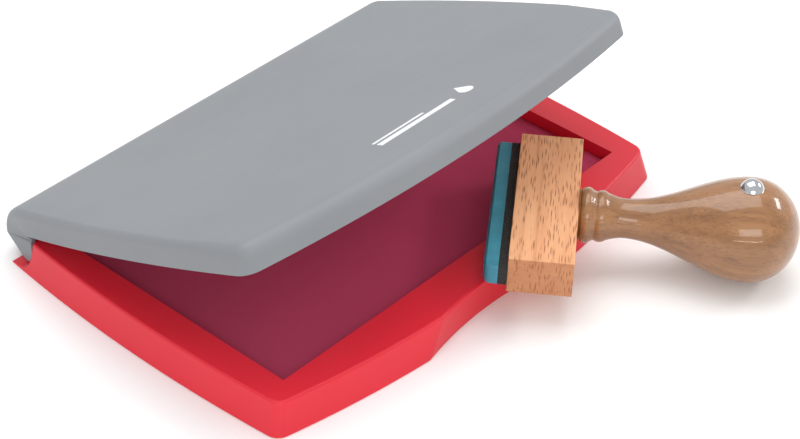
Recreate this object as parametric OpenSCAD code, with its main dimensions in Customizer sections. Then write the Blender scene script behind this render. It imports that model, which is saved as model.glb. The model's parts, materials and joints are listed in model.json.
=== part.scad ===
// Hinged stamp pad with a wooden hand stamp lying on its front rim.
// Millimetres, +Z up. The origin is under the centre of the ink pad, on the underside.
// The hinge is at the rear (+Y) and the thumb scoop at the front (-Y).

/* [Case] */
// Height of the rim above the table
case_h = 8.2; // [8.1:0.1:8.3]
// Half width of the case at its foot, where the sides bow out most
foot_half_w = 64.8; // [64.4:0.1:65.2]
// Half width of the case at its rim, where the sides bow out most
rim_half_w = 62.9; // [62.8:0.1:63.2]
// Radius of the bowed sides
side_r = 413; // [400:1:430]
// How far the foot's bowed front edge stands before the pad's centre
foot_front_y = 48.2; // [47.9:0.1:48.5]
// How far the rim's bowed front edge stands before the pad's centre
rim_front_y = 46.6; // [46.4:0.1:46.9]
// Radius of the bowed front edge
front_r = 273; // [260:1:290]
// Radius of the front corners
corner_r = 3.4; // [2.5:0.1:5]
// How far the rim's rear edge is behind the pad's centre
rim_rear_y = 38.8; // [38.5:0.1:38.9]
// How far the thin lip under the hinge reaches behind the pad's centre
lip_rear_y = 45.6; // [45:0.1:45.7]
// Thickness of the case walls
wall = 1.8; // [1.2:0.1:1.9]

/* [Ink pad] */
// Length of the ink pad recess
pad_l = 110; // [106:1:111]
// Width of the ink pad recess
pad_w = 70; // [66:1:70]
// How far the inked surface lies below the rim
pad_drop = 2.9; // [2.6:0.1:3.1]

/* [Lid] */
// How far the lid stands open, in degrees
lid_open = 21.4; // [8:0.1:70]
// Thickness of the lid's top
lid_wall = 1.6; // [1.2:0.1:1.8]
// Height of the lid's outer face above the rim when it is shut
lid_rise = 6.4; // [6.2:0.1:6.6]
// Radius of the rolled spine at the rear
spine_r = 9.5; // [9.4:0.05:9.6]
// How far the hinge axis is behind the pad's centre
hinge_y = 42.6; // [42.5:0.1:42.7]
// Height of the hinge axis
hinge_z = 4.2; // [4.1:0.1:4.3]
// Radius of the hinge pins
pin_r = 1; // [0.8:0.05:1.2]

/* [Hand stamp] */
// Length of the wooden block
block_l = 47; // [44:0.5:48]
// Height of the wooden block, along the handle
block_h = 14.4; // [14.2:0.1:14.5]
// Thickness of the wooden block
block_w = 9.1; // [9:0.1:9.4]
// Length of the handle
handle_l = 49.6; // [48:0.1:51]
// Largest radius of the handle
bulb_r = 11.9; // [11.8:0.05:11.95]
// Direction of the handle over the table, in degrees
stamp_heading = -53.4; // [-55:0.1:-52]
// How much the handle dips towards the table, in degrees
stamp_dip = 1.9; // [1.7:0.05:1.95]

/* [Hidden] */
$fn = 96;

// Case
bow_y = -2.6;             // where the sides bow out most
rim_bevel = 0.7;          // softened top edge of the rim
lip_h = 0.8;
lip_end_h = 0.3;          // the lip's ends fall to this, so that the lid can lie back
plate_h = 1.2;
plate_rear_y = 36;
web_top = 2.4;            // floor of the ink pad recess
rim_t = 1.8;              // thickness of the rim's top skin
tray_wall = 1.4;          // wall round the recess, inside the hollow case
scoop_r = 92.6;           // thumb scoop
scoop_y = -44.4;          // deepest point of the scoop
scoop_centre_y = scoop_y - scoop_r;

// Hinge
lug_r = 2.4;
lug_x0 = 55.8;
lug_x1 = 58.6;
lug_fit = 0.06;           // running clearance of a pin in its lug
cheek_x = 58.9;           // inner face of the lid's hinge cheeks
cheek_r = 3.3;            // rounded foot of a cheek, about the hinge axis
saddle_r = cheek_r + 0.2; // hollow of the case behind which that foot turns
pin_x0 = 56.2;
pin_x1 = 60;

// Lid, in its shut position
lid_gap = 0.2;            // daylight between the shut lid and the rim
lid_z0 = case_h + lid_gap;
lid_z1 = case_h + lid_rise;
lid_rear_y = 50;          // behind everything of the lid
spine_y = 40.3;
spine_end = 18;           // where the spine's roll ends, in degrees above the horizontal
lid_most = 61;            // degrees from shut to where the cheeks' backs lie on the table
cheek_y = rim_rear_y + 0.5;
spine_z = lid_z1 - spine_r;
spine_skirt_z = 8.5;      // lower edge of the spine between the cheeks
front_round = 3.3;        // radius of the lid's upper front edge
end_round = 1.8;          // radius of its upper edges at the ends
ceiling_z = lid_z1 - lid_wall;

// Ink pad
carrier_t = 0.8;
carrier_h = 2.4;
fit = 0.2;                // slack of the carrier in its recess
cover_t = 0.3;
pad_top = case_h - pad_drop;

// Hand stamp, in its own frame: +X along the handle, Y along the block, +Z up
foam_t = 2;
die_t = 2.9;
relief_t = 0.4;
die_l = block_l - 0.6;
die_y = -0.7;             // the foam and die are glued on a little off centre
die_w = 4.9;
die_near_r = 1.2;         // worn corners of the die
die_far_r = 0.5;
screw_r = 1.5;
handle_rise = 0.45;       // the handle is fixed a little above the block's middle
stud_x = 37.6;
stud_r = 2.7;
stud_h = 1.9;
stud_sink = 0.3;          // how far the dome is let into the handle
stud_shank = 2.6;
shank_r = 0.9;
foot_r = 6.4;
bead_r = 5.9;
neck_r = 4.5;
neck_x = 10.5;
bulb_x = 38.5;            // where the handle is thickest, from the block
rest_gap = 0.05;
stamp_x = 21.25;
stamp_y = -42.4;
stamp_z = case_h + rest_gap + block_w / 2 * cos(stamp_dip) + block_h / 2 * sin(stamp_dip);

function arc(centre, r, from, to, steps) =
    [for (i = [0:steps]) let (a = from + (to - from) * i / steps)
        centre + r * [cos(a), sin(a)]];

// Where two circles of radius r1 (about c1) and r2 (about c2) cross, on the +X side
function crossing(c1, r1, c2, r2) =
    let (d = norm(c2 - c1), u = (c2 - c1) / d, along = (d * d + r1 * r1 - r2 * r2) / (2 * d))
    c1 + along * u + sqrt(r1 * r1 - along * along) * [u[1], -u[0]];

function heading(from, to) = atan2(to[1] - from[1], to[0] - from[0]);

// Right half of the outline, from the rear round to the middle of the front:
// bowed side, rounded front corner, bowed front
function half_plan(half_w, front, inset, rear) =
    let (
        rs = side_r - inset, rf = front_r - inset, rc = corner_r - inset * 0.5,
        side_c = [half_w - side_r, bow_y], front_c = [0, front_r - front],
        corner_c = crossing(side_c, rs - rc, front_c, rf - rc),
        side_end = heading(side_c, corner_c), front_start = heading(front_c, corner_c)
    )
    concat(
        arc(side_c, rs, asin((rear - bow_y) / rs), side_end, 14),
        arc(corner_c, rc, side_end, front_start, 7),
        arc(front_c, rf, front_start, -90, 12)
    );

module plan(half_w, front, inset, rear) {
    right = half_plan(half_w, front, inset, rear);
    n = len(right);
    polygon(concat(right, [for (i = [2:n]) [-right[n - i][0], right[n - i][1]]]));
}

module rim_plan(inset, rear) {
    plan(rim_half_w, rim_front_y, inset, rear);
}

module slice(z, t = 0.2) {
    translate([0, 0, z]) linear_extrude(t) children();
}

module scoop(grow = 0) {
    translate([0, scoop_centre_y, -1]) cylinder(r = scoop_r + grow, h = case_h + 2, $fn = 720);
}

module hinge_bore(r, x0, x1) {
    translate([x0, hinge_y, hinge_z]) rotate([0, 90, 0]) cylinder(r = r, h = x1 - x0, $fn = 48);
}

// Pad base -----------------------------------------------------------------

// Step down from the rim to the lip, hollowed where the lid's cheeks turn
module rear_step() {
    translate([-cheek_x, rim_rear_y, lip_h]) cube([2 * cheek_x, 20, case_h]);
    along_x(80) polygon(concat(
        [[rim_rear_y, case_h + 1], [rim_rear_y, hinge_z]],
        arc([hinge_y, hinge_z], saddle_r, 180, 270, 12),
        [[lip_rear_y + 1, lip_end_h], [lid_rear_y, lip_end_h], [lid_rear_y, case_h + 1]]
    ));
}

module case_outer() {
    difference() {
        hull() {
            slice(0) plan(foot_half_w, foot_front_y, 0, lip_rear_y);
            slice(case_h - rim_bevel) rim_plan(0, lip_rear_y);
            slice(case_h - 0.2) rim_plan(rim_bevel * 0.6, lip_rear_y);
        }
        rear_step();
        scoop();
    }
}

// The hollow between the outer walls and the recess, open below until the plate closes it
module case_hollow() {
    difference() {
        translate([0, 0, plate_h]) linear_extrude(case_h - rim_t - plate_h)
            rim_plan(wall, pad_w / 2);
        translate([-pad_l / 2 - tray_wall, -pad_w / 2 - tray_wall, 0])
            cube([pad_l + 2 * tray_wall, pad_w + 2 * tray_wall, case_h]);
        scoop(wall);
    }
    difference() {
        translate([0, 0, -1]) linear_extrude(plate_h + 1.01) rim_plan(wall, plate_rear_y);
        scoop(wall);
    }
}

module hinge_lug() {
    hinge_bore(lug_r, lug_x0, lug_x1);
    translate([lug_x0, rim_rear_y - 0.5, lip_h - 0.2])
        cube([lug_x1 - lug_x0, hinge_y - rim_rear_y + 0.5, hinge_z + lug_r - lip_h + 0.2]);
}

module case() {
    color([0.80, 0.09, 0.15]) difference() {
        union() {
            difference() {
                case_outer();
                case_hollow();
                translate([-pad_l / 2, -pad_w / 2, web_top]) cube([pad_l, pad_w, case_h]);
            }
            hinge_lug();
            mirror([1, 0, 0]) hinge_lug();
        }
        hinge_bore(pin_r + lug_fit, lug_x0 - 1, lug_x1 + 1);
        mirror([1, 0, 0]) hinge_bore(pin_r + lug_fit, lug_x0 - 1, lug_x1 + 1);
    }
}

module base_plate() {
    color([0.72, 0.08, 0.13]) difference() {
        linear_extrude(plate_h) rim_plan(wall + 0.1, plate_rear_y - 0.1);
        scoop(wall + 0.1);
    }
}

module pad_block(inset, z0, z1) {
    translate([-pad_l / 2 + inset, -pad_w / 2 + inset, z0])
        cube([pad_l - 2 * inset, pad_w - 2 * inset, z1 - z0]);
}

module pad_carrier() {
    color([0.25, 0.25, 0.27]) difference() {
        pad_block(fit, web_top, web_top + carrier_h);
        pad_block(fit + carrier_t, web_top + carrier_t, case_h);
    }
}

module pad_cover() {
    color([0.50, 0.14, 0.26]) difference() {
        union() {
            pad_block(fit + carrier_t, web_top + carrier_t, pad_top);
            pad_block(fit, web_top + carrier_h, pad_top);
        }
        pad_block(fit + carrier_t + cover_t, web_top + carrier_t - 1, pad_top - cover_t);
    }
}

module felt_core() {
    color([0.42, 0.08, 0.18])
        pad_block(fit + carrier_t + cover_t, web_top + carrier_t, pad_top - cover_t);
}

// Lid ------------------------------------------------------------------------

module open_lid() {
    translate([0, hinge_y, hinge_z]) rotate([-lid_open, 0, 0])
        translate([0, -hinge_y, -hinge_z]) children();
}

// Section across the hinge: top, rolled spine and hinge cheek
module lid_section() {
    polygon(concat(
        [[-lid_rear_y, lid_z0], [cheek_y, lid_z0], [hinge_y - cheek_r, lid_z0 - 1.8]],
        arc([hinge_y, hinge_z], cheek_r, 180, 270 + lid_most, 18),
        arc([spine_y, spine_z], spine_r, spine_end, 90, 24),
        [[-lid_rear_y, lid_z1]]
    ));
}

module along_x(half) {
    rotate([90, 0, 90]) translate([0, 0, -half]) linear_extrude(2 * half) children();
}

// Cone about one of the outline's centres. Its side touches the quarter round of radius `round`
// on the top edge where that faces up by `facing` degrees.
module edge_cone(centre, r, round, facing, top) {
    inset = round * (1 - (1 - sin(facing)) / cos(facing));
    drop = round * (1 - (1 - cos(facing)) / sin(facing));
    translate(centre)
        cylinder(r1 = r - inset + top * inset / drop, r2 = r - inset, h = top, $fn = 720);
}

// Solid of the lid's outline, `inset` inside it, with its top edges rounded in two steps
module lid_dome(inset, top, rear) {
    intersection() {
        linear_extrude(top) rim_plan(inset, rear);
        for (facing = [30, 60]) intersection() {
            edge_cone([rim_half_w - side_r, bow_y], side_r - inset, end_round, facing, top);
            edge_cone([side_r - rim_half_w, bow_y], side_r - inset, end_round, facing, top);
            edge_cone([0, front_r - rim_front_y], front_r - inset, front_round, facing, top);
        }
    }
}

module lid_outer() {
    intersection() {
        lid_dome(0, lid_z1, lid_rear_y);
        along_x(70) lid_section();
    }
}

module lid_cavity() {
    lid_dome(lid_wall, ceiling_z, rim_rear_y);
    difference() {
        translate([-cheek_x, rim_rear_y - 0.1, -1]) cube([2 * cheek_x, 20, ceiling_z + 1]);
        translate([0, spine_y, 0]) difference() {
            translate([-80, 0, spine_skirt_z]) cube([160, 20, 20]);
            translate([0, 0, spine_z]) rotate([0, 90, 0])
                cylinder(r = spine_r - lid_wall, h = 200, center = true);
        }
    }
}

module lid_shell() {
    color([0.62, 0.64, 0.65]) open_lid() difference() {
        lid_outer();
        lid_cavity();
        hinge_bore(pin_r, cheek_x - 1, pin_x1);
        mirror([1, 0, 0]) hinge_bore(pin_r, cheek_x - 1, pin_x1);
    }
}

module lid_liner() {
    color([0.86, 0.86, 0.84]) open_lid()
        translate([-57, -37, ceiling_z - 1]) cube([114, 74, 1]);
}

module seal_lip() {
    color([0.78, 0.78, 0.76]) open_lid() translate([0, 0, lid_z0]) difference() {
        translate([-57, -37, 0]) cube([114, 74, ceiling_z - 1 - lid_z0]);
        translate([-56, -36, -1]) cube([112, 72, 10]);
    }
}

module hinge_pin() {
    color([0.70, 0.70, 0.72]) open_lid() hinge_bore(pin_r, pin_x0, pin_x1);
}

module hinge_pin_left() {
    mirror([1, 0, 0]) hinge_pin();
}

module hinge_pin_right() {
    hinge_pin();
}

// Hand stamp -------------------------------------------------------------------

module place_stamp() {
    translate([stamp_x, stamp_y, stamp_z])
        rotate([0, 0, stamp_heading]) rotate([0, stamp_dip, 0]) children();
}

// The handle's own frame: its axis from the block's middle
module place_handle() {
    place_stamp() translate([0, 0, handle_rise]) children();
}

module stack(from, t, length, width, middle = 0) {
    translate([from - t, middle - length / 2, -width / 2]) cube([t, length, width]);
}

module screw_hole(depth) {
    rotate([0, 90, 0]) cylinder(r = screw_r, h = depth, $fn = 48);
}

module stamp_block() {
    color([0.82, 0.58, 0.40]) place_stamp() difference() {
        stack(block_h / 2, block_h, block_l, block_w);
        translate([0, 0, handle_rise]) screw_hole(block_h);
    }
}

module foam_cushion() {
    color([0.13, 0.13, 0.13]) place_stamp()
        stack(-block_h / 2, foam_t, die_l, die_w, die_y);
}

module die_base() {
    face = -block_h / 2 - foam_t - die_t;
    near = die_y - die_l / 2;
    far = die_y + die_l / 2;
    color([0.16, 0.45, 0.52]) place_stamp() translate([0, 0, -die_w / 2])
        linear_extrude(die_w) polygon(concat(
            [[face + die_t, far], [face + die_t, near]],
            arc([face + die_near_r, near + die_near_r], die_near_r, 270, 180, 6),
            arc([face + die_far_r, far - die_far_r], die_far_r, 180, 90, 4)
        ));
}

// Raised printing lines: a border round two rows of short bars
module die_relief() {
    face = -block_h / 2 - foam_t - die_t;
    middle = die_y + (die_near_r - die_far_r) / 2;
    color([0.06, 0.20, 0.25]) place_stamp() {
        difference() {
            stack(face, relief_t, die_l - 2.6, die_w - 0.5, middle);
            stack(face + 1, relief_t + 2, die_l - 3.6, die_w - 1.3, middle);
        }
        for (i = [-10:10]) translate([0, middle + i * 2, 0])
            stack(face, relief_t, 1.2 - 0.4 * (i * i % 3), 2.4);
    }
}

// Half section of the handle: foot bead, groove, second bead, neck, swelling and round end
module handle_profile() {
    end_l = handle_l - bulb_x;
    polygon(concat(
        [[0, 0], [foot_r - 0.6, 0], [foot_r - 0.1, 0.7]],
        arc([foot_r - 1.6, 1.9], 1.6, -20, 45, 8),
        [[bead_r - 0.4, 3.8]],
        arc([bead_r - 2.2, 5.1], 2.2, -30, 50, 8),
        [[neck_r + 0.35, 8.6], [neck_r + 0.05, 9.8]],
        [for (i = [0:20]) let (t = i / 20)
            [neck_r + (bulb_r - neck_r) * (1 - cos(180 * t)) / 2, neck_x + (bulb_x - neck_x) * t]],
        [for (i = [1:15]) [bulb_r * cos(6 * i), bulb_x + end_l * sin(6 * i)]]
    ));
}

module handle() {
    color([0.78, 0.58, 0.38]) place_handle() difference() {
        translate([block_h / 2, 0, 0]) rotate([0, 90, 0])
            rotate_extrude($fn = 128) handle_profile();
        screw_hole(block_h / 2 + 14);
        translate([block_h / 2 + stud_x, 0, bulb_r - stud_sink - stud_shank])
            cylinder(r = shank_r, h = 6, $fn = 32);
        translate([block_h / 2 + stud_x, 0, bulb_r - stud_sink]) cylinder(r = stud_r, h = 6);
    }
}

module handle_screw() {
    color([0.75, 0.75, 0.77]) place_handle() translate([0.5, 0, 0])
        screw_hole(block_h / 2 + 13);
}

module locating_stud() {
    dome_r = (stud_r * stud_r + stud_h * stud_h) / (2 * stud_h);
    color([0.80, 0.80, 0.82]) place_handle()
        translate([block_h / 2 + stud_x, 0, bulb_r - stud_sink]) {
            intersection() {
                translate([0, 0, stud_h - dome_r]) sphere(r = dome_r);
                translate([-stud_r, -stud_r, 0]) cube([2 * stud_r, 2 * stud_r, stud_h + 1]);
            }
            translate([0, 0, -stud_shank]) cylinder(r = shank_r, h = stud_shank + 0.1, $fn = 32);
        }
}

case();
base_plate();
pad_carrier();
felt_core();
pad_cover();
lid_shell();
lid_liner();
seal_lip();
hinge_pin_left();
hinge_pin_right();
stamp_block();
foam_cushion();
die_base();
die_relief();
handle();
handle_screw();
locating_stud();
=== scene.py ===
"""Looks of a hinged stamp pad with a wooden hand stamp lying on its front rim.

Lengths are written in millimetres and turned into metres by MM. The CAD frame gives the places;
the pieces here carry the finished shapes and materials.
"""
import json
import math

import bmesh
import bpy
import numpy as np
from mathutils import Matrix, Vector


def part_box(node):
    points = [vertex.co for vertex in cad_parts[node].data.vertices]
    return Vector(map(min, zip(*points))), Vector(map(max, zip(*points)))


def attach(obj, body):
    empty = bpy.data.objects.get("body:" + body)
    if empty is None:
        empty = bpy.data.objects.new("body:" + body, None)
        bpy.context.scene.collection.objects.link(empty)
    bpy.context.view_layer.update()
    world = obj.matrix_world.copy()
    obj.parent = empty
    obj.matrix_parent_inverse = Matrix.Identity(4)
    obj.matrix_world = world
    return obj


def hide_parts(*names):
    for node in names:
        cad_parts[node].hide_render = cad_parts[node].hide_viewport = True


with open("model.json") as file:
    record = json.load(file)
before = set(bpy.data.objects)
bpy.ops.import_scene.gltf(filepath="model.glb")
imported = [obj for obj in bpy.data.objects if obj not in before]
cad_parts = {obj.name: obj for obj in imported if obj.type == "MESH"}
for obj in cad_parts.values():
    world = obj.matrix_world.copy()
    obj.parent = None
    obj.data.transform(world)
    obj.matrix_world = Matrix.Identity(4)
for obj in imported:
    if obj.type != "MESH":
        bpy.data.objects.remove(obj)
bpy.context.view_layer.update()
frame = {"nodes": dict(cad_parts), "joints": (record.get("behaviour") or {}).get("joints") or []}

MM = 0.001

# ---------------------------------------------------------------- sizes, as in the CAD model
CASE_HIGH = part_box("case")[1] / MM
CASE_H = CASE_HIGH.z
FOOT_HALF_W = CASE_HIGH.x
RIM_HALF_W = FOOT_HALF_W - 1.9
LIP_REAR_Y = CASE_HIGH.y
RIM_REAR_Y = 38.8
LIP_H = 0.8
LIP_END_H = 0.3
PLATE_H = 1.2
PLATE_REAR_Y = 36.0
SIDE_R = 413.0
BOW_Y = -2.6
FOOT_FRONT_Y = 48.2
RIM_FRONT_Y = 46.6
FRONT_R = 273.0
CORNER_R = 3.4
WALL = 1.8
SCOOP_R = 92.6
SCOOP_Y = -44.4
SCOOP_CENTRE_Y = SCOOP_Y - SCOOP_R
BEYOND_Y = 60  # well behind the rear edge, for cutters

PAD_L, PAD_W = 110.0, 70.0
WEB_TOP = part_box("pad_carrier")[0].z / MM
CARRIER_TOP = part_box("pad_carrier")[1].z / MM
COVER_LOW, COVER_HIGH = [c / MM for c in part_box("pad_cover")]

HINGE = next(j for j in frame["joints"] if j["name"] == "lid_hinge")
HINGE_Y, HINGE_Z = HINGE["pos_m"][1] / MM, HINGE["pos_m"][2] / MM
BORE_R = 1.06
LUG_R = 2.4
LUG_X0, LUG_X1 = 55.8, 58.6
LID_OPEN = 21.4  # degrees from shut, at rest
LID_Z0 = CASE_H + 0.2
LID_Z1 = CASE_H + 6.4
LID_WALL = 1.6
FRONT_ROUND = 3.3
END_ROUND = 1.8
SPINE_R = 9.5
SPINE_Y = 40.3
SPINE_END = 18  # degrees above level, where the spine's round stops
LID_MOST = 61  # degrees from shut, at the upper limit
SPINE_Z = LID_Z1 - SPINE_R
SPINE_SKIRT_Z = 8.5
CHEEK_X = 58.9
CHEEK_R = 3.3
CHEEK_TIP = -166  # degrees round the hinge, where the cheek's round stops
HEEL_Y, HEEL_Z = HINGE_Y - 0.955 * CHEEK_R, HINGE_Z - 0.21 * CHEEK_R
SHIN_DROP = 1.8
CHEEK_Y = RIM_REAR_Y + 0.5
SADDLE_R = CHEEK_R + 0.2

BLOCK = (14.4, 47.0, 9.1)
BLOCK_CENTRE = (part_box("stamp_block")[0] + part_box("stamp_block")[1]) / 2 / MM
STAMP_HEADING = -53.4
STAMP_DIP = 1.9
DIE_L, DIE_W, DIE_Y = 46.4, 4.9, -0.7
DIE_NEAR_R, DIE_FAR_R = 1.2, 0.5
FOAM_T, DIE_T, RELIEF_T = 2.0, 2.9, 0.4
HANDLE_L = 49.6
HANDLE_RISE = 0.45
FOOT_R, BEAD_R = 6.4, 5.9
BULB_X, BULB_R = 38.5, 11.9
NECK_X, NECK_R = 10.5, 4.5
STUD_X, STUD_R, STUD_H, STUD_SINK = 37.6, 2.7, 1.9, 0.3

LID_PLACE = (
    Matrix.Translation((0, HINGE_Y * MM, HINGE_Z * MM))
    @ Matrix.Rotation(math.radians(-LID_OPEN), 4, "X")
    @ Matrix.Translation((0, -HINGE_Y * MM, -HINGE_Z * MM))
)
STAMP_PLACE = (
    Matrix.Translation(BLOCK_CENTRE * MM)
    @ Matrix.Rotation(math.radians(STAMP_HEADING), 4, "Z")
    @ Matrix.Rotation(math.radians(STAMP_DIP), 4, "Y")
)
HANDLE_PLACE = STAMP_PLACE @ Matrix.Translation((0, 0, HANDLE_RISE * MM))

CAMERA_AZIMUTH, CAMERA_ELEVATION = -47.35, 37.66
CAMERA_PLACE = (-0.29648, -0.29045, 0.32116)
LENS, SENSOR = 101.25, 36.0


# ---------------------------------------------------------------- mesh helpers
def new_object(name, verts, faces, place=None):
    """Mesh object from points in millimetres, moved to its place."""
    mesh = bpy.data.meshes.new(name)
    mesh.from_pydata([Vector(v) * MM for v in verts], [], faces)
    mesh.validate()
    if place is not None:
        mesh.transform(place)
    obj = bpy.data.objects.new(name, mesh)
    bpy.context.scene.collection.objects.link(obj)
    bpy.context.view_layer.update()
    return obj


def face_outwards(obj, merge=0.0):
    """Turns the faces outwards, after joining points that are closer than merge, in millimetres."""
    bm = bmesh.new()
    bm.from_mesh(obj.data)
    if merge:
        bmesh.ops.remove_doubles(bm, verts=bm.verts, dist=merge * MM)
    bmesh.ops.recalc_face_normals(bm, faces=bm.faces)
    bm.to_mesh(obj.data)
    bm.free()


def smooth(obj, angle=32, weighted=True):
    """Smooth shading that keeps edges sharper than angle, with big flat faces leading the normals."""
    for p in obj.data.polygons:
        p.use_smooth = True
    obj.data.set_sharp_from_angle(angle=math.radians(angle))
    if weighted:
        mod = obj.modifiers.new("weighted", "WEIGHTED_NORMAL")
        mod.keep_sharp = True
        mod.weight = 80


def apply_modifiers(obj):
    deps = bpy.context.evaluated_depsgraph_get()
    mesh = bpy.data.meshes.new_from_object(obj.evaluated_get(deps))
    obj.modifiers.clear()
    obj.data = mesh


def carve(obj, cutters, operation="DIFFERENCE"):
    """Cuts closed shapes out of obj, or joins them to it, and removes them."""
    for cutter in cutters:
        mod = obj.modifiers.new("carve", "BOOLEAN")
        mod.operation = operation
        mod.object = cutter
        mod.solver = "EXACT"
        bpy.context.view_layer.update()
        apply_modifiers(obj)
        bpy.data.objects.remove(cutter)


def joined(name, pieces):
    """One object made of the meshes of pieces, which are removed."""
    bm = bmesh.new()
    for piece in pieces:
        bm.from_mesh(piece.data)
        bpy.data.objects.remove(piece)
    mesh = bpy.data.meshes.new(name)
    bm.to_mesh(mesh)
    bm.free()
    obj = bpy.data.objects.new(name, mesh)
    bpy.context.scene.collection.objects.link(obj)
    return obj


def box(name, low, high, place=None, bevel=0.0, segments=3):
    """Box with softened edges, in millimetres."""
    (x0, y0, z0), (x1, y1, z1) = low, high
    verts = [(x, y, z) for x in (x0, x1) for y in (y0, y1) for z in (z0, z1)]
    faces = [(0, 1, 3, 2), (4, 6, 7, 5), (0, 4, 5, 1), (2, 3, 7, 6), (0, 2, 6, 4), (1, 5, 7, 3)]
    obj = new_object(name, verts, faces, place)
    if bevel:
        bm = bmesh.new()
        bm.from_mesh(obj.data)
        bmesh.ops.bevel(
            bm, geom=bm.edges[:], offset=bevel * MM, segments=segments, affect="EDGES", profile=0.5
        )
        bm.to_mesh(obj.data)
        bm.free()
    face_outwards(obj)
    return obj


def loft(name, rings, place=None, closed_ends=True):
    """Skin over rings of points, each with the same number of points."""
    n = len(rings[0])
    verts = [p for ring in rings for p in ring]
    faces = []
    for k in range(len(rings) - 1):
        for i in range(n):
            j = (i + 1) % n
            faces.append((k * n + i, k * n + j, (k + 1) * n + j, (k + 1) * n + i))
    if closed_ends:
        faces.append(tuple(range(n)))
        faces.append(tuple(range((len(rings) - 1) * n, len(rings) * n)))
    obj = new_object(name, verts, faces, place)
    face_outwards(obj)
    return obj


def prism_x(name, outline, x0, x1, place=None):
    """Outline in (y, z), extruded along X."""
    return loft(name, [[(x, y, z) for y, z in outline] for x in (x0, x1)], place)


def lathe(name, profile, axis_x, place, steps=128):
    """Turned shape: profile is (distance along the local X axis, radius)."""
    rings = []
    for along, r in profile:
        rings.append([
            (axis_x + along, r * math.cos(a), r * math.sin(a))
            for a in np.linspace(0, 2 * math.pi, steps, endpoint=False)
        ])
    obj = loft(name, rings, place)
    face_outwards(obj, merge=0.004)
    smooth(obj, 40, weighted=False)
    return obj


# ---------------------------------------------------------------- outline of the case and lid
def arc(centre, r, start, end, steps):
    return [
        (centre[0] + r * math.cos(a), centre[1] + r * math.sin(a))
        for a in np.linspace(start, end, steps + 1)
    ]


def crossing(c1, r1, c2, r2):
    """Where two circles cross, on the +X side."""
    c1, c2 = np.array(c1), np.array(c2)
    d = float(np.linalg.norm(c2 - c1))
    u = (c2 - c1) / d
    along = (d * d + r1 * r1 - r2 * r2) / (2 * d)
    return c1 + along * u + math.sqrt(r1 * r1 - along * along) * np.array([u[1], -u[0]])


def bearing(start, end):
    return math.atan2(end[1] - start[1], end[0] - start[0])


def outline(half_w, inset=0.0, rear=LIP_REAR_Y, scoop=False, front_y=RIM_FRONT_Y):
    """Closed outline: bowed sides, rounded front corners, bowed front, with or without the scoop."""
    rs, rf, rc = SIDE_R - inset, FRONT_R - inset, max(CORNER_R - 0.6 * inset, 0.4)
    side_c, front_c = (half_w - SIDE_R, BOW_Y), (0.0, FRONT_R - front_y)
    corner_c = crossing(side_c, rs - rc, front_c, rf - rc)
    side_end, front_start = bearing(side_c, corner_c), bearing(front_c, corner_c)
    right = arc(side_c, rs, math.asin((rear - BOW_Y) / rs), side_end, 30)
    right += arc(corner_c, rc, side_end, front_start, 10)[1:]
    if scoop:
        scoop_c = (0.0, SCOOP_CENTRE_Y)
        tip = crossing(scoop_c, SCOOP_R + inset, front_c, rf)
        right += arc(front_c, rf, front_start, bearing(front_c, tip), 16)[1:]
        right += arc(scoop_c, SCOOP_R + inset, bearing(scoop_c, tip), math.pi / 2, 16)[1:]
    else:
        right += arc(front_c, rf, front_start, -math.pi / 2, 32)[1:]
    return right + [(-x, y) for x, y in right[-2::-1]]


def at_height(points, z):
    return [(x, y, z) for x, y in points]


def bow(y):
    """Half width of the rim's bowed outline at y."""
    return RIM_HALF_W - SIDE_R + math.sqrt(SIDE_R ** 2 - (y - BOW_Y) ** 2)


# ---------------------------------------------------------------- pad base
def build_case():
    """Red moulding: drafted outer wall with a rounded rim edge, recess, scoop, rear step and lugs."""
    edge, foot_edge = 0.7, 0.25
    rings = [at_height(outline(FOOT_HALF_W, foot_edge, LIP_REAR_Y, True, FOOT_FRONT_Y), 0.0)]
    for t in np.linspace(0, 1, 7):
        half_w = FOOT_HALF_W + (RIM_HALF_W - FOOT_HALF_W) * t
        front_y = FOOT_FRONT_Y + (RIM_FRONT_Y - FOOT_FRONT_Y) * t
        z = foot_edge + (CASE_H - edge - foot_edge) * t
        rings.append(at_height(outline(half_w, 0, LIP_REAR_Y, True, front_y), z))
    for a in np.radians([15, 30, 45, 60, 75, 90]):
        z = CASE_H - edge + edge * math.sin(a)
        rings.append(at_height(outline(RIM_HALF_W, edge * (1 - math.cos(a)), LIP_REAR_Y, True), z))
    case = loft("case_moulding", rings)
    recess = box("recess", (-PAD_L / 2, -PAD_W / 2, WEB_TOP), (PAD_L / 2, PAD_W / 2, CASE_H + 2))
    plate_edge = outline(RIM_HALF_W, WALL, PLATE_REAR_Y, True)
    rebate = loft("rebate", [at_height(plate_edge, z) for z in (-1, PLATE_H)])
    carve(case, [recess, rebate] + rear_step())
    carve(case, [build_lug(side) for side in (-1, 1)], "UNION")
    bore = arc((HINGE_Y, HINGE_Z), BORE_R, 0, 2 * math.pi, 32)[:-1]
    lug_x = (LUG_X0 + LUG_X1) / 2
    carve(case, [prism_x("bore", bore, x - 4, x + 4) for x in (-lug_x, lug_x)])
    face_outwards(case, merge=0.002)
    smooth(case)
    return case


def rear_step():
    """Step down to the lip behind the rim, hollowed at both ends where the lid's cheeks turn."""
    top = CASE_H + 2
    middle = box("step", (-CHEEK_X, RIM_REAR_Y, LIP_H), (CHEEK_X, BEYOND_Y, top))
    section = [(RIM_REAR_Y, top), (RIM_REAR_Y, HINGE_Z)]
    section += arc((HINGE_Y, HINGE_Z), SADDLE_R, math.pi, 1.5 * math.pi, 20)
    section += [(LIP_REAR_Y + 1, LIP_END_H), (BEYOND_Y, LIP_END_H), (BEYOND_Y, top)]
    return [middle, prism_x("end_step", section, -80, 80)]


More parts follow.
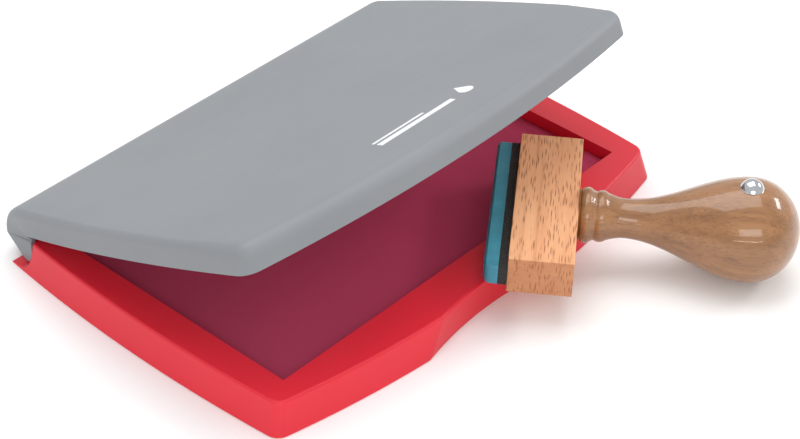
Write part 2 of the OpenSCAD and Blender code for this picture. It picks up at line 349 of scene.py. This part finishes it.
def build_lug(side):
    front, foot = RIM_REAR_Y - 0.5, LIP_H - 0.2
    section = [(front, foot), (HINGE_Y, foot), (HINGE_Y, HINGE_Z - LUG_R)]
    section += arc((HINGE_Y, HINGE_Z), LUG_R, -math.pi / 2, math.pi / 2, 16)[1:]
    section += [(front, HINGE_Z + LUG_R)]
    return prism_x("lug", section, side * LUG_X0, side * LUG_X1)


def build_ink_cloth():
    """Cover stretched over the felt: flat on top, rolled over its edges, very slightly crowned."""
    low, high = COVER_LOW, COVER_HIGH
    cols, rows, roll = 72, 48, 0.8
    xs = np.linspace(low.x, high.x, cols + 1)
    ys = np.linspace(low.y, high.y, rows + 1)

    def ease(d):
        return 1 - (1 - min(d / roll, 1.0)) ** 3

    def top(x, y):
        dx, dy = min(x - low.x, high.x - x), min(y - low.y, high.y - y)
        crown = 0.2 * ease(dx / 6) * ease(dy / 6)
        return high.z - 0.2 + crown - 0.25 * (1 - ease(dx) * ease(dy))

    rng = np.random.default_rng(4)
    verts = [(x, y, top(x, y) + rng.normal(0, 0.006)) for y in ys for x in xs]
    line = cols + 1
    faces = [
        (j * line + i, j * line + i + 1, (j + 1) * line + i + 1, (j + 1) * line + i)
        for j in range(rows) for i in range(cols)
    ]
    rim = list(range(line))
    rim += [j * line + cols for j in range(1, rows + 1)]
    rim += [rows * line + i for i in range(cols - 1, -1, -1)]
    rim += [j * line for j in range(rows - 1, 0, -1)]
    base = len(verts)
    verts += [(verts[k][0], verts[k][1], CARRIER_TOP + 0.02) for k in rim]
    n = len(rim)
    faces += [(rim[i], base + i, base + (i + 1) % n, rim[(i + 1) % n]) for i in range(n)]
    cloth = new_object("ink_cloth", verts, faces)
    face_outwards(cloth)
    smooth(cloth, 60, weighted=False)
    return cloth


def build_felt():
    low, high = [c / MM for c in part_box("felt_core")]
    felt = box("ink_felt", low + Vector((0.2, 0.2, 0.0)), high - Vector((0.2, 0.2, 0.6)), bevel=0.5)
    smooth(felt)
    return felt


# ---------------------------------------------------------------- lid
def front_edge(x):
    return FRONT_R - RIM_FRONT_Y - math.sqrt(FRONT_R ** 2 - x * x)


def lid_path(x):
    """Outer skin at x, from the front's lower edge over the top and spine to the hinge cheek's tip.

    Each entry is (y, z, inward normal y, inward normal z, end radius).
    """
    front, r = front_edge(x), FRONT_ROUND
    path = [(front, z, 1, 0, r) for z in (LID_Z0, LID_Z1 - r)]
    for a in np.radians(np.linspace(0, 90, 13))[1:]:
        c, s = math.cos(a), math.sin(a)
        path.append((front + r * (1 - c), LID_Z1 - r * (1 - s), c, -s, r))
    for t in np.linspace(0, 1, 28)[1:]:
        path.append((front + r + (SPINE_Y - front - r) * t, LID_Z1, 0, -1, max(r - 8 * t, END_ROUND)))
    for a in np.radians(np.linspace(90, SPINE_END, 16))[1:]:
        c, s = math.cos(a), math.sin(a)
        path.append((SPINE_Y + SPINE_R * c, SPINE_Z + SPINE_R * s, -c, -s, END_ROUND - 1.0 * (1 - s)))
    for a in np.radians(np.linspace(LID_MOST - 90, CHEEK_TIP, 16)):
        c, s = math.cos(a), math.sin(a)
        path.append((HINGE_Y + CHEEK_R * c, HINGE_Z + CHEEK_R * s, -c, -s, 0.8))
    return path


def along(corners, t):
    """Point at share t of a broken line, each stretch having an equal share."""
    at = min(t * (len(corners) - 1), len(corners) - 1 - 1e-9)
    start, end = Vector(corners[int(at)]), Vector(corners[int(at) + 1])
    return tuple(start.lerp(end, at - int(at)))


def inner_point(k, path, front):
    """Point on the underside that faces path point k."""
    flat = sum(1 for p in path if p[0] <= CHEEK_Y)
    if k < flat:
        return max(path[k][0], front), LID_Z0
    shin = (HINGE_Y - CHEEK_R, LID_Z0 - SHIN_DROP)
    corners = ((CHEEK_Y, LID_Z0), shin, (HEEL_Y, HEEL_Z))
    return along(corners, (k - flat + 1) / (len(path) - flat))


def build_lid_body():
    """Closed solid of the lid's outer shape, in its shut position, with rounded ends."""
    end_angles = np.radians([0, 15, 30, 45, 60, 75, 90])
    side_c, front_c = (RIM_HALF_W - SIDE_R, BOW_Y), (0, FRONT_R - RIM_FRONT_Y)
    corner_c = crossing(side_c, SIDE_R - CORNER_R, front_c, FRONT_R - CORNER_R)
    limits = [(bow(max(y, corner_c[1])), r) for y, _, _, _, r in lid_path(RIM_HALF_W - 3)]
    columns = [(-1, a) for a in end_angles[::-1]]
    columns += [(f, None) for f in np.linspace(-1, 1, 27)[1:-1]]
    columns += [(1, a) for a in end_angles]
    outer, inner = [], []
    for side, a in columns:
        column, under = [], []
        for k, (limit, r) in enumerate(limits):
            if a is None:
                x, drop = side * (limit - r), 0.0
            else:
                x, drop = side * (limit - r + r * math.sin(a)), r * (1 - math.cos(a))
            path = lid_path(x)
            y, z, ny, nz = path[k][:4]
            column.append((x, y + ny * drop, z + nz * drop))
            under.append((x, *inner_point(k, path, column[0][1])))
        outer.append(column)
        inner.append(under)
    n = len(outer[0])
    verts = [p for column in outer for p in column] + [p for column in inner for p in column]
    off = len(outer) * n
    faces = []
    for c in range(len(outer) - 1):
        for k in range(n - 1):
            a, b = c * n + k, (c + 1) * n + k
            faces.append((a, a + 1, b + 1, b))
            faces.append((off + a, off + b, off + b + 1, off + a + 1))
        last = c * n + n - 1
        faces.append((last, off + last, off + last + n, last + n))
    for c in (0, len(outer) - 1):
        for k in range(n - 1):
            a = c * n + k
            faces.append((a, off + a, off + a + 1, a + 1))
    body = new_object("lid_moulding", verts, faces)
    face_outwards(body, merge=0.004)
    return body


def lid_cavity():
    """Hollow under the lid's top, open below, with rounded upper edges."""
    rings = []
    for z, inset in ((5.0, 0.0), (11.0, 0.0), (12.1, 0.5), (12.7, 1.2), (LID_Z1 - LID_WALL, 2.2)):
        rings.append(at_height(outline(RIM_HALF_W, LID_WALL + inset, RIM_REAR_Y), z))
    return loft("tray_cavity", rings)


def spine_cavity():
    top_r = SPINE_R - LID_WALL
    front = RIM_REAR_Y - 0.1
    section = [(front, 0.0), (BEYOND_Y, 0.0), (BEYOND_Y, SPINE_SKIRT_Z)]
    start = math.asin((SPINE_SKIRT_Z - SPINE_Z) / top_r)
    section += arc((SPINE_Y, SPINE_Z), top_r, start, math.pi / 2, 18)
    section += [(front, SPINE_Z + top_r)]
    return prism_x("spine_cavity", section, -CHEEK_X, CHEEK_X)


def build_lid():
    body = build_lid_body()
    carve(body, [lid_cavity(), spine_cavity()])
    face_outwards(body, merge=0.002)
    body.data.transform(LID_PLACE)
    smooth(body)
    return body


def build_lid_print():
    """Plain printed mark: a drop and two bars, a thin film on the lid's top."""
    pieces = []
    for x0, x1, y0, y1 in ((-14, 9.5, -34.2, -32.5), (-14, 2, -31.6, -30.8)):
        pieces.append([(x0, y0), (x1, y0), (x1, y1), (x0, y1)])
    drop = arc((14.5, -32.6), 1.8, math.radians(150), math.radians(390), 24) + [(14.5, -28.8)]
    pieces.append(drop)
    low, high = LID_Z1 - 0.02, LID_Z1 + 0.03
    films = [loft("film", [at_height(piece, z) for z in (low, high)], LID_PLACE) for piece in pieces]
    return joined("lid_print", films)


# ---------------------------------------------------------------- hand stamp
def build_block():
    h, l, w = (s / 2 for s in BLOCK)
    block = box("wood_block", (-h, -l, -w), (h, l, w), STAMP_PLACE, bevel=0.22, segments=3)
    smooth(block, 50)
    return block


def bead(middle, r, top, angles):
    """Round bead of a profile, whose crown is at radius top."""
    return [(middle - r * math.cos(a), top - r + r * math.sin(a)) for a in angles]


def handle_profile():
    """(along, radius): foot bead, groove, second bead, neck, swelling and round end."""
    points = [(0.0, 0.0), (0.0, FOOT_R - 0.7), (0.3, FOOT_R - 0.35)]
    points += bead(1.9, 1.6, FOOT_R, np.linspace(0.4, 2.36, 14))
    points += [(3.62, BEAD_R - 0.3), (3.8, BEAD_R - 0.36), (3.95, BEAD_R - 0.31)]
    points += bead(5.1, 2.2, BEAD_R, np.linspace(1.06, 2.27, 14))
    bead_end, bead_end_r = points[-1]
    for t in np.linspace(0, 1, 10)[1:-1]:
        r = bead_end_r + (NECK_R - bead_end_r) * math.sin(t * math.pi / 2)
        points.append((bead_end + (NECK_X - bead_end) * t, r))
    for t in np.linspace(0, 1, 30):
        swell = (1 - math.cos(math.pi * t)) / 2
        points.append((NECK_X + (BULB_X - NECK_X) * t, NECK_R + (BULB_R - NECK_R) * swell))
    for a in np.radians(np.linspace(0, 90, 26))[1:]:
        points.append((BULB_X + (HANDLE_L - BULB_X) * math.sin(a), max(BULB_R * math.cos(a), 0.0)))
    return points


def build_handle():
    return lathe("turned_handle", handle_profile(), BLOCK[0] / 2, HANDLE_PLACE)


def build_stud():
    dome_r = (STUD_R ** 2 + STUD_H ** 2) / (2 * STUD_H)
    seat = Vector((BLOCK[0] / 2 + STUD_X, 0, BULB_R - STUD_SINK))
    profile = [(0.0, 0.0), (0.0, STUD_R - 0.06), (0.05, STUD_R), (0.12, STUD_R)]
    reach = math.asin((STUD_R - 0.06) / dome_r)
    for a in np.linspace(reach, 0, 20):
        profile.append((STUD_H - dome_r + dome_r * math.cos(a), dome_r * math.sin(a)))
    place = HANDLE_PLACE @ Matrix.Translation(seat * MM) @ Matrix.Rotation(math.radians(-90), 4, "Y")
    return lathe("chrome_stud", profile, 0.0, place, 96)


def build_foam():
    back, l, w = -BLOCK[0] / 2, DIE_L / 2, DIE_W / 2
    foam = box("black_foam", (back - FOAM_T, DIE_Y - l, -w), (back, DIE_Y + l, w), STAMP_PLACE, 0.15, 2)
    smooth(foam, 50)
    return foam


def build_die():
    """Rubber die with worn outer corners and soft edges."""
    def ring(z, inset):
        face = -BLOCK[0] / 2 - FOAM_T - DIE_T + inset
        near, far = DIE_Y - DIE_L / 2 + inset, DIE_Y + DIE_L / 2 - inset
        points = [(-BLOCK[0] / 2 - FOAM_T, far), (-BLOCK[0] / 2 - FOAM_T, near)]
        points += arc((face + DIE_NEAR_R, near + DIE_NEAR_R), DIE_NEAR_R, 1.5 * math.pi, math.pi, 10)
        points += arc((face + DIE_FAR_R, far - DIE_FAR_R), DIE_FAR_R, math.pi, 0.5 * math.pi, 6)
        return at_height(points, z)

    w = DIE_W / 2
    steps = [(w, 0.3), (w - 0.09, 0.09), (w - 0.3, 0.0)]
    rings = [ring(-z, inset) for z, inset in steps] + [ring(z, inset) for z, inset in steps[::-1]]
    die = loft("rubber_die", rings, STAMP_PLACE)
    smooth(die, 50)
    return die


def build_relief():
    """Raised border and rows of short bars on the die's face."""
    face = -BLOCK[0] / 2 - FOAM_T - DIE_T
    parts = []
    l, w, line = DIE_L / 2 - 1.3, DIE_W / 2 - 0.35, 0.4
    middle = DIE_Y + (DIE_NEAR_R - DIE_FAR_R) / 2
    for y0, y1, z0, z1 in (
        (-l, l, w - line, w), (-l, l, -w, line - w), (-l, line - l, -w, w), (l - line, l, -w, w),
    ):
        parts.append(((face - RELIEF_T, y0, z0), (face + 0.05, y1, z1)))
    rng = np.random.default_rng(7)
    for z0, z1 in ((0.25, 1.35), (-1.35, -0.25)):
        y = -l + 1.4
        while y < l - 1.8:
            length = float(rng.uniform(0.7, 1.5))
            parts.append(((face - RELIEF_T, y, z0), (face + 0.05, min(y + length, l - 1), z1)))
            y += length + 0.45
    shift = Matrix.Translation((0, middle * MM, 0))
    relief = joined("die_print", [box("bar", low, high, shift, 0.08, 1) for low, high in parts])
    relief.data.transform(STAMP_PLACE)
    smooth(relief, 40)
    return relief


# ---------------------------------------------------------------- materials
def srgb(r, g, b):
    """Colour from 0-255 screen values to the linear values that shaders take."""
    def channel(v):
        v /= 255
        return v / 12.92 if v <= 0.04045 else ((v + 0.055) / 1.055) ** 2.4
    return (channel(r), channel(g), channel(b), 1.0)


def dimmed(colour):
    return tuple(0.86 * c for c in colour[:3]) + (1.0,)


class Paint:
    """A Principled material with short calls for the nodes used here."""

    def __init__(self, name, place=None, **constants):
        self.mat = bpy.data.materials.new(name)
        self.mat.use_nodes = True
        self.nodes = self.mat.node_tree.nodes
        self.links = self.mat.node_tree.links
        self.bsdf = self.nodes["Principled BSDF"]
        for socket, value in constants.items():
            self.bsdf.inputs[socket.replace("_", " ")].default_value = value
        self.coords = self.nodes.new("ShaderNodeTexCoord").outputs["Object"]
        if place is not None:
            node = self.nodes.new("ShaderNodeMapping")
            node.vector_type = "TEXTURE"
            node.inputs["Location"].default_value = place.to_translation()
            node.inputs["Rotation"].default_value = place.to_euler("XYZ")
            self.link(self.coords, node.inputs["Vector"])
            self.coords = node.outputs["Vector"]

    def link(self, out, socket):
        self.links.new(out, socket)

    def stretch(self, scale=(1, 1, 1), rotation=(0, 0, 0)):
        node = self.nodes.new("ShaderNodeMapping")
        node.inputs["Scale"].default_value = scale
        node.inputs["Rotation"].default_value = rotation
        self.link(self.coords, node.inputs["Vector"])
        return node.outputs["Vector"]

    def along(self, axis):
        node = self.nodes.new("ShaderNodeSeparateXYZ")
        self.link(self.coords, node.inputs["Vector"])
        return node.outputs[axis]

    def noise(self, scale, detail=4, rough=0.55, vector=None, distortion=0.0):
        node = self.nodes.new("ShaderNodeTexNoise")
        node.inputs["Scale"].default_value = scale
        node.inputs["Detail"].default_value = detail
        node.inputs["Roughness"].default_value = rough
        node.inputs["Distortion"].default_value = distortion
        self.link(self.coords if vector is None else vector, node.inputs["Vector"])
        return node.outputs["Fac"]

    def wave(self, scale, vector, direction="X", distortion=0.0, detail=2.0):
        node = self.nodes.new("ShaderNodeTexWave")
        node.bands_direction = direction
        node.inputs["Scale"].default_value = scale
        node.inputs["Distortion"].default_value = distortion
        node.inputs["Detail"].default_value = detail
        self.link(vector, node.inputs["Vector"])
        return node.outputs["Fac"]

    def cells(self, scale, vector=None):
        node = self.nodes.new("ShaderNodeTexVoronoi")
        node.inputs["Scale"].default_value = scale
        self.link(self.coords if vector is None else vector, node.inputs["Vector"])
        return node.outputs["Distance"]

    def remap(self, value, from_low, from_high, to_low=0.0, to_high=1.0):
        node = self.nodes.new("ShaderNodeMapRange")
        for socket, number in zip(
            ("From Min", "From Max", "To Min", "To Max"), (from_low, from_high, to_low, to_high)
        ):
            node.inputs[socket].default_value = number
        self.link(value, node.inputs["Value"])
        return node.outputs["Result"]

    def math(self, operation, a, b=None):
        node = self.nodes.new("ShaderNodeMath")
        node.operation = operation
        for socket, value in zip(node.inputs, (a, b)):
            if isinstance(value, (int, float)):
                socket.default_value = value
            elif value is not None:
                self.link(value, socket)
        return node.outputs[0]

    def blend(self, factor, colour_a, colour_b):
        node = self.nodes.new("ShaderNodeMix")
        node.data_type = "RGBA"
        self.link(factor, node.inputs["Factor"])
        for socket, value in ((node.inputs[6], colour_a), (node.inputs[7], colour_b)):
            if isinstance(value, tuple):
                socket.default_value = value
            else:
                self.link(value, socket)
        return node.outputs[2]

    def colour(self, value):
        self.link(value, self.bsdf.inputs["Base Color"])

    def roughness(self, value):
        self.link(value, self.bsdf.inputs["Roughness"])

    def bump(self, height, distance, strength=1.0, after=None):
        node = self.nodes.new("ShaderNodeBump")
        node.inputs["Strength"].default_value = strength
        node.inputs["Distance"].default_value = distance * MM
        self.link(height, node.inputs["Height"])
        if after is not None:
            self.link(after, node.inputs["Normal"])
        self.link(node.outputs["Normal"], self.bsdf.inputs["Normal"])
        return node.outputs["Normal"]


def plastic(name, base, shade, rough, grain, grain_depth, **constants):
    """Moulded plastic: cloudy colour, uneven gloss, spark-eroded grain and a few fine scratches."""
    p = Paint(name, **constants)
    cloud = p.remap(p.noise(22, 3), 0.35, 0.65)
    p.colour(p.blend(cloud, base, shade))
    smears = p.noise(60, 5, 0.7, p.stretch((1, 3, 1)))
    p.roughness(p.remap(smears, 0.3, 0.7, rough - 0.03, rough + 0.03))
    fine = p.bump(p.noise(grain, 2, 0.6), grain_depth, 0.6)
    scratch = p.remap(p.wave(30, p.stretch((1, 14, 1), (0, 0, 0.5)), distortion=9, detail=6), 0.97, 1.0)
    p.bump(scratch, -0.004, 0.35, after=fine)
    return p.mat


def ink_cloth_material():
    """Fine plain weave, damp with ink: cloudy, with painted light that makes it a little brighter
    towards the right and darker towards the left.
    """
    p = Paint("ink_cloth", Sheen_Weight=0.10, Sheen_Roughness=0.5, Specular_IOR_Level=0.3)
    threads = 3.4 / MM
    wave_scale = threads / 20 * 6.2832  # the wave node makes 20 bands in 2 pi
    warp, weft = [p.wave(wave_scale, p.stretch(), way, 0.4, 1.0) for way in "XY"]
    weave = p.math("MAXIMUM", warp, weft)
    pool = p.remap(p.noise(24, 4, 0.55), 0.3, 0.7)
    # painted light: the cloth's colour brightens from left to right across the pad, standing in for how
    # the light falls on it
    painted_light_ramp = p.remap(p.along("X"), -PAD_L / 2 * MM, PAD_L / 2 * MM)
    tint = p.blend(painted_light_ramp, srgb(166, 50, 84), srgb(196, 52, 96))
    tint = p.blend(p.math("MULTIPLY", pool, 0.35), tint, srgb(172, 42, 84))
    p.colour(p.blend(p.remap(weave, 0.0, 0.6, 0.22, 0.0), tint, srgb(112, 28, 54)))
    p.roughness(p.remap(pool, 0, 1, 0.6, 0.8))
    fine = p.bump(weave, 0.03, 0.6)
    p.bump(p.noise(2600, 2), 0.015, 0.4, after=fine)
    return p.mat


def felt_material():
    p = Paint("ink_felt", Roughness=0.95, Sheen_Weight=0.3)
    p.colour(p.blend(p.remap(p.noise(700, 4), 0.35, 0.65), srgb(86, 22, 44), srgb(112, 34, 60)))
    p.bump(p.noise(1500, 5, 0.7), 0.15)
    return p.mat


def beech(name, grain_axis, place, light, mid, fleck, fleck_amount, spot_shape, **constants):
    """Beech with its grain along one local axis: soft bands, pore lines and short dark flecks.

    spot_shape is how much the flecks are drawn out: the smaller the number, the longer they are.
    """
    p = Paint(name, place, **constants)

    def run(stretch):
        return p.stretch(tuple(stretch if axis == grain_axis else 1 for axis in "XYZ"))

    bands = p.noise(260, 5, 0.6, run(0.08), 0.3)
    broad = p.noise(70, 3, 0.5, run(0.15), 0.6)
    lines = p.noise(900, 3, 0.6, run(0.03))
    tint = p.blend(p.remap(bands, 0.36, 0.64), mid, light)
    tint = p.blend(p.remap(broad, 0.42, 0.66, 0.0, 0.4), tint, dimmed(mid))
    tint = p.blend(p.remap(lines, 0.52, 0.72, 0.0, 0.35), tint, fleck)
    spots = p.remap(p.cells(2400, p.stretch(spot_shape)), 0.18, 0.44, 1.0, 0.0)
    patchy = p.remap(p.noise(520, 2, 0.5, run(0.3)), 0.34, 0.46)
    flecks = p.math("MULTIPLY", p.math("MULTIPLY", spots, patchy), fleck_amount)
    wood = p.blend(flecks, tint, fleck)
    p.colour(wood)
    return p, bands, flecks, run, wood


def block_material():
    p, bands, flecks, run, wood = beech(
        "wood_block", "Y", STAMP_PLACE, srgb(236, 178, 132), srgb(227, 163, 119), srgb(150, 90, 56), 0.8,
        (1, 0.09, 0.15), Specular_IOR_Level=0.3,
    )
    end = BLOCK[1] / 2 * MM
    end_grain = p.remap(p.math("ABSOLUTE", p.along("Y")), end - 0.2 * MM, end - 0.05 * MM, 0.0, 0.5)
    p.colour(p.blend(end_grain, wood, srgb(150, 84, 50)))
    p.roughness(p.remap(bands, 0.3, 0.7, 0.55, 0.7))
    pores = p.bump(flecks, -0.05, 0.5)
    p.bump(p.noise(900, 4, 0.6, run(0.1)), 0.03, 0.4, after=pores)
    return p.mat


def handle_material():
    p, bands, flecks, run, _ = beech(
        "turned_handle", "X", STAMP_PLACE, srgb(168, 118, 74), srgb(140, 95, 56), srgb(84, 50, 28), 0.35,
        (0.12, 1, 1), Coat_Weight=0.85, Coat_Roughness=0.05, Coat_IOR=1.5, Specular_IOR_Level=0.35,
    )
    p.roughness(p.remap(bands, 0.3, 0.7, 0.3, 0.44))
    pores = p.bump(flecks, -0.02, 0.1)
    p.bump(p.noise(900, 4, 0.6, run(0.05)), 0.015, 0.08, after=pores)
    return p.mat


def foam_material():
    p = Paint("foam_cushion", Roughness=0.95, Specular_IOR_Level=0.3)
    pores = p.cells(2600)
    p.colour(p.blend(p.remap(pores, 0.1, 0.6), srgb(26, 26, 27), srgb(56, 56, 55)))
    p.bump(pores, 0.12, 0.9)
    return p.mat


def rubber_material(name, base, shade, rough):
    p = Paint(name, Specular_IOR_Level=0.45)
    p.colour(p.blend(p.remap(p.noise(180, 5, 0.65), 0.35, 0.65), base, shade))
    p.roughness(p.remap(p.noise(300, 4), 0.3, 0.7, rough - 0.08, rough + 0.08))
    p.bump(p.noise(1400, 3), 0.02, 0.6)
    return p.mat


def metal_material(name, colour, rough, brushed):
    p = Paint(name, Metallic=1.0)
    streaks = p.noise(900, 3, 0.6, p.stretch((1, 12, 12) if brushed else (1, 1, 1)))
    p.colour(p.blend(p.remap(streaks, 0.3, 0.7), colour, dimmed(colour)))
    p.roughness(p.remap(streaks, 0.3, 0.7, rough * 0.7, rough * 1.4))
    p.bump(streaks, 0.003, 0.3)
    return p.mat


def print_material():
    p = Paint("lid_print")
    p.colour(p.blend(p.remap(p.noise(1600, 3), 0.4, 0.6), srgb(236, 238, 240), srgb(218, 221, 224)))
    p.roughness(p.remap(p.noise(500, 2), 0.3, 0.7, 0.45, 0.6))
    return p.mat


def floor_material():
    p = Paint("floor", Roughness=0.9, Specular_IOR_Level=0.1)
    p.colour(p.blend(p.noise(6, 2), (0.95, 0.95, 0.95, 1), (0.97, 0.97, 0.97, 1)))
    return p.mat


def give(obj, material):
    obj.data.materials.clear()
    obj.data.materials.append(material)


# ---------------------------------------------------------------- stage
def build_floor():
    size = 1500
    corners = [(-size, -size, 0), (size, -size, 0), (size, size, 0), (-size, size, 0)]
    floor = new_object("floor", corners, [(0, 1, 2, 3)])
    give(floor, floor_material())


def area_light(name, place, target, size, power, tint=(1, 1, 1)):
    data = bpy.data.lights.new(name, "AREA")
    data.shape = "RECTANGLE"
    data.size, data.size_y = size
    data.energy = power
    data.color = tint
    lamp = bpy.data.objects.new(name, data)
    bpy.context.scene.collection.objects.link(lamp)
    lamp.location = place
    lamp.rotation_euler = (Vector(target) - Vector(place)).to_track_quat("-Z", "Y").to_euler()


def build_lights():
    centre = (0, 0, 0.01)
    area_light("key", (-0.66, -0.74, 0.58), centre, (0.7, 0.3), 2.5, (1.0, 0.99, 0.97))
    area_light("top", (0.15, 0.22, 0.93), centre, (0.9, 0.8), 5.6, (0.98, 0.99, 1.0))
    area_light("right", (0.85, -0.4, 0.55), centre, (0.35, 0.15), 2.3)
    area_light("strip", (-0.7, -0.75, 0.2), centre, (0.8, 0.012), 0.5)
    world = bpy.data.worlds.new("studio")
    world.use_nodes = True
    world.node_tree.nodes["Background"].inputs[0].default_value = (1, 1, 1, 1)
    world.node_tree.nodes["Background"].inputs[1].default_value = 0.72
    bpy.context.scene.world = world


def build_camera():
    """Camera at the photographed angle: left of the front and above."""
    azimuth, elevation = math.radians(CAMERA_AZIMUTH), math.radians(CAMERA_ELEVATION)
    right = Vector((math.cos(azimuth), math.sin(azimuth), 0))
    back = Vector((math.sin(azimuth), -math.cos(azimuth), 0)) * math.cos(elevation)
    back.z = math.sin(elevation)
    data = bpy.data.cameras.new("camera")
    data.sensor_width = SENSOR
    data.lens = LENS
    data.clip_start = 0.01
    camera = bpy.data.objects.new("camera", data)
    bpy.context.scene.collection.objects.link(camera)
    turn = Matrix((right, back.cross(right), back)).transposed().to_4x4()
    camera.matrix_world = Matrix.Translation(CAMERA_PLACE) @ turn
    bpy.context.scene.camera = camera
    bpy.context.scene.view_settings.view_transform = "Standard"


# ---------------------------------------------------------------- assembly
def place_piece(piece, material, body, nodes):
    give(piece, material)
    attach(piece, body)
    if nodes:
        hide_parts(*nodes)
    return piece


def build_base():
    red = plastic(
        "case_red", srgb(222, 27, 49), srgb(214, 23, 45), 0.38, 1500, 0.006, Specular_IOR_Level=0.5
    )
    place_piece(build_case(), red, "base", ["case"])
    cloth = place_piece(build_ink_cloth(), ink_cloth_material(), "base", ["pad_cover"])
    felt = place_piece(build_felt(), felt_material(), "base", ["felt_core"])
    plate = plastic("plate_red", srgb(196, 26, 42), srgb(186, 22, 38), 0.55, 900, 0.02)
    give(frame["nodes"]["base_plate"], plate)
    dish = plastic("carrier_dark", srgb(70, 70, 74), srgb(60, 60, 64), 0.5, 900, 0.015)
    give(frame["nodes"]["pad_carrier"], dish)


def build_lid_group():
    grey = plastic(
        "lid_grey", srgb(134, 137, 141), srgb(130, 133, 137), 0.5, 1300, 0.010, Specular_IOR_Level=0.4
    )
    place_piece(build_lid(), grey, "lid", ["lid_shell"])
    place_piece(build_lid_print(), print_material(), "lid", [])
    liner = plastic("liner", srgb(226, 226, 222), srgb(216, 217, 213), 0.42, 800, 0.012)
    give(frame["nodes"]["lid_liner"], liner)
    seal = plastic("seal", srgb(205, 205, 200), srgb(196, 196, 190), 0.7, 700, 0.02)
    give(frame["nodes"]["seal_lip"], seal)
    steel = metal_material("pin_steel", srgb(190, 190, 194), 0.3, True)
    for side in ("left", "right"):
        give(frame["nodes"]["hinge_pin_" + side], steel)


def build_stamp_group():
    place_piece(build_block(), block_material(), "hand_stamp", ["stamp_block"])
    place_piece(build_handle(), handle_material(), "hand_stamp", ["handle"])
    foam = place_piece(build_foam(), foam_material(), "hand_stamp", ["foam_cushion"])
    teal = rubber_material("die_rubber", srgb(60, 142, 162), srgb(50, 126, 146), 0.45)
    place_piece(build_die(), teal, "hand_stamp", ["die_base"])
    dark = rubber_material("relief_rubber", srgb(24, 66, 82), srgb(36, 90, 106), 0.5)
    place_piece(build_relief(), dark, "hand_stamp", ["die_relief"])
    chrome = metal_material("stud_chrome", srgb(214, 216, 220), 0.09, False)
    place_piece(build_stud(), chrome, "hand_stamp", ["locating_stud"])
    give(frame["nodes"]["handle_screw"], metal_material("screw_steel", srgb(196, 196, 200), 0.3, True))


build_camera()
build_floor()
build_lights()
build_base()
build_lid_group()
build_stamp_group()
